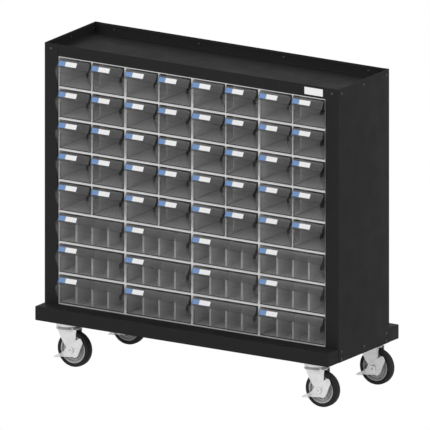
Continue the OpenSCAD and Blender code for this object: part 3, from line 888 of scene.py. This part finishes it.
def bin_trim(name, corner, width, body, ear_top):
    """Two stop ears on the bin's side walls, and a dark strip of painted shade along the foot of its
    front.
    """
    bm = bmesh.new()
    y = corner.y + BIN_DEPTH - EAR_SETBACK - EAR_L
    z = corner.z + rear_top.z
    for x in (corner.x, corner.x + width - BIN_WALL):
        block(bm, (x, y, z), (x + BIN_WALL, y + EAR_L, ear_top))
    ears = set(bm.faces)
    # The dark strip at the foot of the front is painted shade of the gap under the nose.
    foot = corner + nose_foot
    block(bm, foot + Vector((0, -SHADE_STRIP_T, 0)), foot + Vector((width, 0, SHADE_STRIP_H)))
    for face in set(bm.faces) - ears:
        face.material_index = 1
    finish_piece(bm, name, body, [smoked_plastic, smoked_catch], edge=FINE_EDGE)


def make_bin(name, body, low, high):
    """One bin in its box, on its body; the box starts at the nose and ends at the ears' tops."""
    corner = Vector((low.x, low.y - nose_top.y, low.z))
    bm = bmesh.new()
    bin_shell(bm, corner, high.x - low.x)
    finish_piece(bm, name, body, BIN_FINISHES, edge=BIN_EDGE, thickness=BIN_WALL,
                 outward=(0, 0, -1), replaces=[body], edge_finish=EDGE)
    bin_trim(name + "_trim", corner, high.x - low.x, body, high.z)
    return corner


print("ears", EAR_L / MM, "mm long, shade_strip", SHADE_STRIP_H / MM, "mm high")

# %% [markdown]
# A label lies on the lip, near its left end, in the lip's own slope. Its colours could be an
# image, but one thin plate that is cut across, with a finish on each side of the cut, stays
# sharp from close by.

# %% Labels
LABEL_W = 69 * MM
LABEL_H = 16.5 * MM
LABEL_T = 0.3 * MM
LABEL_UP = 6 * MM
LABEL_IN = 4.5 * MM
BLUE_SHARE = 0.38


def bin_label(name, body, corner):
    """A printed label on a bin's lip; its left part is blue."""
    bm = bmesh.new()
    foot = corner + lip_foot + LABEL_UP * LIP_SLOPE + Vector((LABEL_IN, 0, 0))
    out = Vector((0, -LIP_SLOPE.z, LIP_SLOPE.y))
    across, up = Vector((LABEL_W, 0, 0)), LABEL_H * LIP_SLOPE
    plate(bm, [foot, foot + across, foot + across + up, foot + up], LABEL_T * out)
    cut = foot.x + BLUE_SHARE * LABEL_W
    slice_at(bm, (cut, 0, 0), (1, 0, 0))
    for face in bm.faces:
        face.material_index = 1 if face.calc_center_median().x < cut else 0
    finish_piece(bm, name, body, [white_card, blue_card], edge=0)


print("label", LABEL_W / MM, "by", LABEL_H / MM, "mm")

# %% [markdown]
# A wide bin has three dividers. Each is a thin blade with its upper front corner cut off, and a
# flange down its front edge keeps it upright and shows as a pale bar through the bin's front.

# %% Dividers
FLANGE_W = 7 * MM
FLANGE_T = 1.2 * MM
BLADE_CUT = 6 * MM
BLADE_OUT = 7 * MM
THIN_EDGE = 0.3 * MM


def divider_set(name, body, boxes):
    """Blades that stand in a wide bin from front to back, each with a flange down its front."""
    bm = bmesh.new()
    for low, high in boxes:
        front, shoulder = low.y - BLADE_OUT, high.z - 2 * BLADE_CUT
        outline = [(high.y, low.z), (front, low.z), (front, shoulder), (low.y + BLADE_CUT, high.z),
                   (high.y, high.z)]
        plate(bm, [Vector((low.x, y, z)) for y, z in outline], (high.x - low.x, 0, 0))
        x = (low.x + high.x) / 2
        block(bm, (x - FLANGE_W / 2, front, low.z), (x + FLANGE_W / 2, front + FLANGE_T, shoulder))
    finish_piece(bm, name, body, [divider_plastic], edge=THIN_EDGE)


print("flange", FLANGE_W / MM, "mm wide")

# %% [markdown]
# A wide bin also has a catch behind its lip: a springy tongue with a hook at its foot. Both are
# plates that lie in the lip's slope, so they are laid out along it and square to it.

# %% Catches
CATCH_W = 18 * MM
CATCH_T = 1.6 * MM
CATCH_RIGHT = 6 * MM
CATCH_GAP = 0.2 * MM
CATCH_SHORT = 2 * MM
HOOK_H = 6 * MM


def bin_catch(name, body, corner, width):
    """A spring tongue behind the lip of a wide bin, with a hook at its foot."""
    bm = bmesh.new()
    inward = Vector((0, LIP_SLOPE.z, -LIP_SLOPE.y))
    start = corner + Vector((width / 2 + CATCH_RIGHT - CATCH_W / 2, 0, 0))
    start += (BIN_WALL + CATCH_GAP) * inward
    top, foot = lip_top - CATCH_SHORT * LIP_SLOPE, lip_foot + CATCH_SHORT * LIP_SLOPE
    tongue = [foot, top, top + CATCH_T * inward, foot + CATCH_T * inward]
    plate(bm, [start + point for point in tongue], (CATCH_W, 0, 0))
    hook_top, hook_out = foot + HOOK_H * LIP_SLOPE, 3 * CATCH_T * inward
    hook = [foot, hook_top, hook_top + hook_out, foot + hook_out]
    plate(bm, [start + point + 1.1 * CATCH_T * inward for point in hook], (CATCH_W, 0, 0))
    finish_piece(bm, name, body, [smoked_catch], edge=THIN_EDGE)


print("catch", CATCH_W / MM, "mm wide")

# %% [markdown]
# The bodies' names say which are bins. Of the separate solids in one, the broad ones are bins
# and the thin ones dividers, and two bins of one housing share a body.

# %% All bins
NARROWEST_BIN = 10 * MM

count = 0
for body in sorted(frame["bodies"]):
    if not body.startswith(("bin_", "wide_bin_")):
        continue
    boxes = loose_boxes(body)
    trays = [box for box in boxes if box[0].x + NARROWEST_BIN < box[1].x]
    dividers = [box for box in boxes if box not in trays]
    for side, (low, high) in enumerate(trays):
        name = body if len(trays) == 1 else f"{body}_{('left', 'right')[side]}"
        corner = make_bin(name + "_tray", body, low, high)
        bin_label(name + "_label", body, corner)
        if dividers:
            divider_set(name + "_dividers", body, dividers)
            bin_catch(name + "_catch", body, corner, high.x - low.x)
        count += 1
print("bins:", count)

# %% [markdown]
# ## Casters
# Every turned part of a caster is a half profile that is spun about its axis: the swivel race and
# the king pin about the upright axis, the wheel about the axle. Flat parts are outlines. Both are
# lists of pairs in millimetres, as on a drawing.

# %% Swivel plates
PLATE_T = 5 * MM
PLATE_CORNER = 9 * MM
RACE_R = 41 * MM
PIN_R = 8 * MM
RACE = [(0, 0), (40, 0), (41, -1), (41, -12), (40, -13), (34, -13.5), (34, -17), (0, -17)]
GROOVE_Z = -17 * MM, -13 * MM
GROOVE_DEPTH = 5 * MM, 8 * MM
PIN_HEAD = [(8, 4), (13, 3), (12, 0.6), (10.5, 0), (0, 0)]
CORNERS = ["front_left", "front_right", "rear_left", "rear_right"]


def in_mm(pairs):
    """Pairs of millimetres as metres."""
    return [(a * MM, b * MM) for a, b in pairs]


def darken_groove(bm, swivel, low_z, high_z):
    """Gives the upright faces deep in the groove round a swivel axis their second finish."""
    for face in bm.faces:
        middle = face.calc_center_median()
        depth = RACE_R - math.hypot(middle.x - swivel.x, middle.y - swivel.y)
        if low_z < middle.z < high_z and GROOVE_DEPTH[0] < depth < GROOVE_DEPTH[1]:
            face.material_index = 1


plates = sorted(loose_boxes("caster_plates"), key=lambda box: tuple((box[0] + box[1]).yx))
swivels = [Vector(((low.x + high.x) / 2, (low.y + high.y) / 2, 0)) for low, high in plates]
bm = bmesh.new()
for (low, high), swivel in zip(plates, swivels):
    seat = high.z - PLATE_T
    corners = [(low.x, low.y, seat), (high.x, low.y, seat), (high.x, high.y, seat), (low.x, high.y, seat)]
    plate(bm, corners, (0, 0, PLATE_T), rounding=PLATE_CORNER)
    turned(bm, in_mm(RACE), (swivel.x, swivel.y, seat), (0, 0, 1), closed=False)
    darken_groove(bm, swivel, seat + GROOVE_Z[0], seat + GROOVE_Z[1])
    foot = low.z - seat
    pin = [(0, 0), (PIN_R, 0)] + [(r, foot + h) for r, h in in_mm(PIN_HEAD)]
    turned(bm, pin, (swivel.x, swivel.y, seat), (0, 0, 1), 32, closed=False)
finish_piece(bm, "swivel_plates", "cabinet", [zinc_plate, groove_grey],
             replaces=["caster_plates"])
print("swivels at", [rounded(swivel) for swivel in swivels], "mm")

# %% [markdown]
# A fork's two legs are pressed from sheet. Each is an outline whose foot is an arc round the
# axle. A cut along its upright edge lets a narrow strip be bent inwards, which stiffens the
# sheet and is what catches the light.

# %% Fork legs
LEG_T = 4 * MM
LEG_GAP = 3 * MM
LEG_BACK = 33 * MM
LEG_REACH = 42 * MM
LEG_REAR = [(-3, 18), (-15, 37)]
FOLD_X = 33 * MM
FOLD_IN = 2 * MM
TRAIL = 26 * MM
FOOT_R = 15 * MM
FOOT_STEPS = 9
CROWN_H = 8 * MM
CROWN_LIP = 3.5 * MM
PRESSED_EDGE = 1 * MM


def leg_outline(crown_z, axle_z):
    """A leg's outline in X and Z about the swivel axis."""
    angles = [-math.pi * i / FOOT_STEPS for i in range(FOOT_STEPS + 1)]
    foot = [(TRAIL + FOOT_R * math.cos(a), axle_z + FOOT_R * math.sin(a)) for a in angles]
    rear = [(x, axle_z + z) for x, z in in_mm(LEG_REAR)]
    top, lip = crown_z + CROWN_H, crown_z + CROWN_LIP
    return foot + rear + [(-LEG_BACK, top), (FOLD_X, top), (FOLD_X, lip), (LEG_REACH, lip)]


def bent_leg(bm, swivel, outline, y_in, y_out):
    """A pressed leg between two planes across Y; y_out is its outer face."""
    known = set(bm.verts)
    plate(bm, [Vector((swivel.x + x, y_in, z)) for x, z in outline], (0, y_out - y_in, 0))
    fresh = [v for v in bm.verts if v not in known]
    edges = list({e for v in fresh for e in v.link_edges})
    faces = list({f for v in fresh for f in v.link_faces})
    slice_at(bm, (swivel.x + FOLD_X, 0, 0), (1, 0, 0), fresh + edges + faces)
    for vert in set(bm.verts) - known:
        past = vert.co.x - swivel.x - FOLD_X
        if past > 0:
            vert.co.y += math.copysign(FOLD_IN, y_in - y_out) * past / (LEG_REACH - FOLD_X)


print("leg", LEG_T / MM, "mm thick, its fold", FOLD_IN / MM, "mm in")

# %% [markdown]
# The axle is a bolt across both legs. Its head is turned, with a shallow recess, and stands off
# far enough for the brake lever to turn under it. At its other end a nut holds it.

# %% Axle bolt
AXLE_R = 6 * MM
AXLE_HEAD = [(3, -4), (3, -0.5), (4, 0), (9.8, 0), (11, -1.2), (11, -5), (6, -5)]
NUT_R = 11 * MM
AXLE_NUT_H = 5 * MM
BRAKE_T = 3 * MM
BRAKE_GAP = 0.6 * MM


def six_corners(radius):
    """The corners of a hexagon about Z."""
    return [(radius * math.cos(math.tau * i / 6), radius * math.sin(math.tau * i / 6)) for i in range(6)]


def axle_bolt(name, body, axle, leg_out):
    """An axle bolt whose legs' outer faces lie leg_out from the middle of the wheel."""
    bm = bmesh.new()
    reach = leg_out + 2 * BRAKE_GAP + BRAKE_T + AXLE_NUT_H
    bolt = [(r, reach + h) for r, h in in_mm(AXLE_HEAD)] + [(AXLE_R, -leg_out)]
    turned(bm, bolt, axle, (0, -1, 0), 48, closed=False)
    bmesh.ops.holes_fill(bm, edges=[e for e in bm.edges if e.is_boundary])
    nut = [(axle.x + x, axle.y + leg_out, axle.z + z) for x, z in six_corners(NUT_R)]
    plate(bm, nut, (0, AXLE_NUT_H, 0))
    finish_piece(bm, name, body, [zinc_plate])


print("axle", 2 * AXLE_R / MM, "mm thick")

# %% [markdown]
# The legs hang from a crown, a dish with a lip that turns under the race. It is spun like the
# race, and the groove between the two gets the same dull grey.

# %% Forks
CROWN = [(8.05, 0), (40, 0), (41, 1), (41, 2.7), (40.2, 3.5), (36, 3.5), (35, 4.5), (35, 7), (34, 8),
         (8.05, 8)]

wheel_boxes = {corner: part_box("wheel_" + corner) for corner in CORNERS}
for corner, swivel in zip(CORNERS, swivels):
    body = "fork_" + corner
    low, high = wheel_boxes[corner]
    axle = (low + high) / 2
    leg_out = high.y - axle.y + LEG_GAP + LEG_T
    crown_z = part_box(body)[1].z - CROWN_H
    outline = leg_outline(crown_z, axle.z)
    bm = bmesh.new()
    for side in (-1, 1):
        bent_leg(bm, swivel, outline, axle.y + side * (leg_out - LEG_T), axle.y + side * leg_out)
    turned(bm, in_mm(CROWN), (swivel.x, swivel.y, crown_z), (0, 0, 1))
    darken_groove(bm, swivel, crown_z + CROWN_LIP, crown_z + CROWN_H)
    finish_piece(bm, "fork_sheet_" + corner, body, [zinc_plate, groove_grey],
                 edge=PRESSED_EDGE, replaces=[body])
    axle_bolt("axle_bolt_" + corner, body, axle, leg_out)
    print("fork", corner, "with its axle at", rounded(axle), "mm")

# %% [markdown]
# A wheel is a moulded rim with a pressed-on tyre. The tyre's tread is slightly crowned, with a
# fine groove at each shoulder, and the rim has a bright outer ring, a dished web with a raised
# rib, and a sealed bearing at its hub. Both sides are alike, so a profile runs from the middle
# plane outwards and its mirror image closes it. Its pairs say how far in from the tread a point
# lies, or at the hub how far out from the axle, and how far in from the side.

# %% Wheels
TYRE = [(0.1, 9), (0.9, 8.6), (0.9, 7.6), (0.35, 7), (1.8, 2.6), (4.5, 0.6), (8, 0), (10.6, 0),
        (12.4, 0.7), (14, 2.2)]
RIM = [(14.05, 2.4), (14.65, 2), (18.45, 2), (19.25, 3), (20.85, 9.5), (23.25, 10), (24.25, 7),
       (28.05, 7), (29.45, 10.5)]
HUB = [(17.5, 8), (15.6, 1), (14.6, 0), (11.8, 0), (11.2, 1), (6.05, 1)]


def wheel_part(part, corner, finish, profile):
    """Spins a profile and its mirror image about a wheel's axle."""
    low, high = wheel_boxes[corner]
    bm = bmesh.new()
    whole = profile + [(r, -h) for r, h in reversed(profile)]
    turned(bm, whole[1:], (low + high) / 2, (0, -1, 0), 96)
    finish_piece(bm, part + "_" + corner, "wheel_" + corner, [finish], edge=0,
                 replaces=["wheel_" + corner])


for corner in CORNERS:
    low, high = wheel_boxes[corner]
    radius, half = (high.z - low.z) / 2, (high.y - low.y) / 2
    tyre = [(radius, 0)] + [(radius - r, half - h) for r, h in in_mm(TYRE)]
    wheel_part("tyre", corner, rubber, tyre)
    rim = [(radius - r, half - h) for r, h in in_mm(RIM)] + [(r, half - h) for r, h in in_mm(HUB)]
    wheel_part("rim", corner, rim_plastic, [(rim[0][0], 0)] + rim)
    print("wheel", corner, "of", round(2 * radius / MM, 1), "mm")

# %% [markdown]
# The brake lever turns on the axle. Its plate has a release lobe above and an arm that ends in
# a pedal, and the pedal is a bent tab with ribs against slipping. A rib is a small plate too,
# laid out along the tab's slope and square to it.

# %% Brake levers
LEVER = [(10, 30), (20.5, 37.5), (35, 45.5), (40, 42), (46, 30), (36, 6), (32, -5), (25, -18.5),
         (16.5, -25), (8, -23), (-34, -27), (-38, -13.5), (-27, -6.5), (-18.5, 9.5)]
PEDAL = [(-34, -27), (-36, -13), (-59, -26.5), (-58.5, -29)]
RIBS = 5
RIB = [(0, 0), (1.6, 0), (1.3, 0.9), (0.3, 0.9)]
RIB_IN = 2 * MM
LEVER_CORNER = 3 * MM
PEDAL_CORNER = 1.2 * MM
LEVER_EDGE = 0.9 * MM


def beside(axle, y, outline):
    """An outline in millimetres round an axle, as points at one y."""
    return [Vector((axle.x + x * MM, y, axle.z + z * MM)) for x, z in outline]


for corner in CORNERS:
    low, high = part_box("brake_" + corner)
    axle = (wheel_boxes[corner][0] + wheel_boxes[corner][1]) / 2
    bm = bmesh.new()
    plate(bm, beside(axle, high.y, LEVER), (0, -BRAKE_T, 0), rounding=LEVER_CORNER)
    pedal = beside(axle, high.y, PEDAL)
    plate(bm, pedal, (0, low.y - high.y, 0), rounding=PEDAL_CORNER)
    slope = (pedal[2] - pedal[1]).normalized()
    lift = Vector((-slope.z, 0, slope.x)) * (-1 if slope.x < 0 else 1)
    for i in range(RIBS):
        start = pedal[1] + (pedal[2] - pedal[1]) * (i + 0.8) / (RIBS + 0.6)
        start.y = high.y - RIB_IN
        rib = [start + along * slope + up * lift for along, up in in_mm(RIB)]
        plate(bm, rib, (0, low.y - high.y + 2 * RIB_IN, 0))
    finish_piece(bm, "brake_lever_" + corner, "brake_" + corner, [zinc_plate],
                 edge=LEVER_EDGE, replaces=["brake_" + corner])
    print("brake lever", corner, "with", RIBS, "ribs")

# %% [markdown]
# The sixteen caster bolts have six-sided heads and nuts with a washer under each. A plate with
# six corners makes the prism, and the bevel of its edges imitates the turned corners.

# %% Caster bolts
BOLT_HEAD_R = 13 * MM / math.sqrt(3)
BOLT_HEAD_H = 5.5 * MM
BOLT_R = 4 * MM
BOLT_END = 3 * MM
BOLT_CHAMFER = 0.8 * MM
WASHER_R = BOLT_HEAD_R + 1.5 * MM
WASHER_T = 1.2 * MM

bm = bmesh.new()
for low, high in loose_boxes("caster_bolts"):
    x, y = (low.x + high.x) / 2, (low.y + high.y) / 2
    for z in (low.z, high.z - BOLT_END - BOLT_HEAD_H):
        plate(bm, [(x + dx, y + dy, z) for dx, dy in six_corners(BOLT_HEAD_R)], (0, 0, BOLT_HEAD_H))
        washer = [(BOLT_R, 0), (WASHER_R, 0), (WASHER_R, WASHER_T), (BOLT_R, WASHER_T)]
        washer_z = z + BOLT_HEAD_H - WASHER_T if z == low.z else z
        turned(bm, washer, (x, y, washer_z), (0, 0, 1), 24)
    length = high.z - low.z - BOLT_HEAD_H
    shank = [(0, 0), (BOLT_R, 0), (BOLT_R, length - BOLT_CHAMFER), (BOLT_R - BOLT_CHAMFER, length),
             (0, length)]
    turned(bm, shank, (x, y, low.z + BOLT_HEAD_H), (0, 0, 1), 24, closed=False)
finish_piece(bm, "caster_bolt_set", "cabinet", [zinc_plate], replaces=["caster_bolts"])
print("caster bolts of", 2 * BOLT_R / MM, "mm")

# %% [markdown]
# ## What stays as it is
# The two cross channels under the platform are already right as plain folded sheets, so they
# keep their solids and only get the paint.

# %% Carried-over solids
channels = frame["nodes"]["cross_channels"]
channels.data.materials.clear()
channels.data.materials.append(powder_coat)
print("kept as it is:", channels.name)
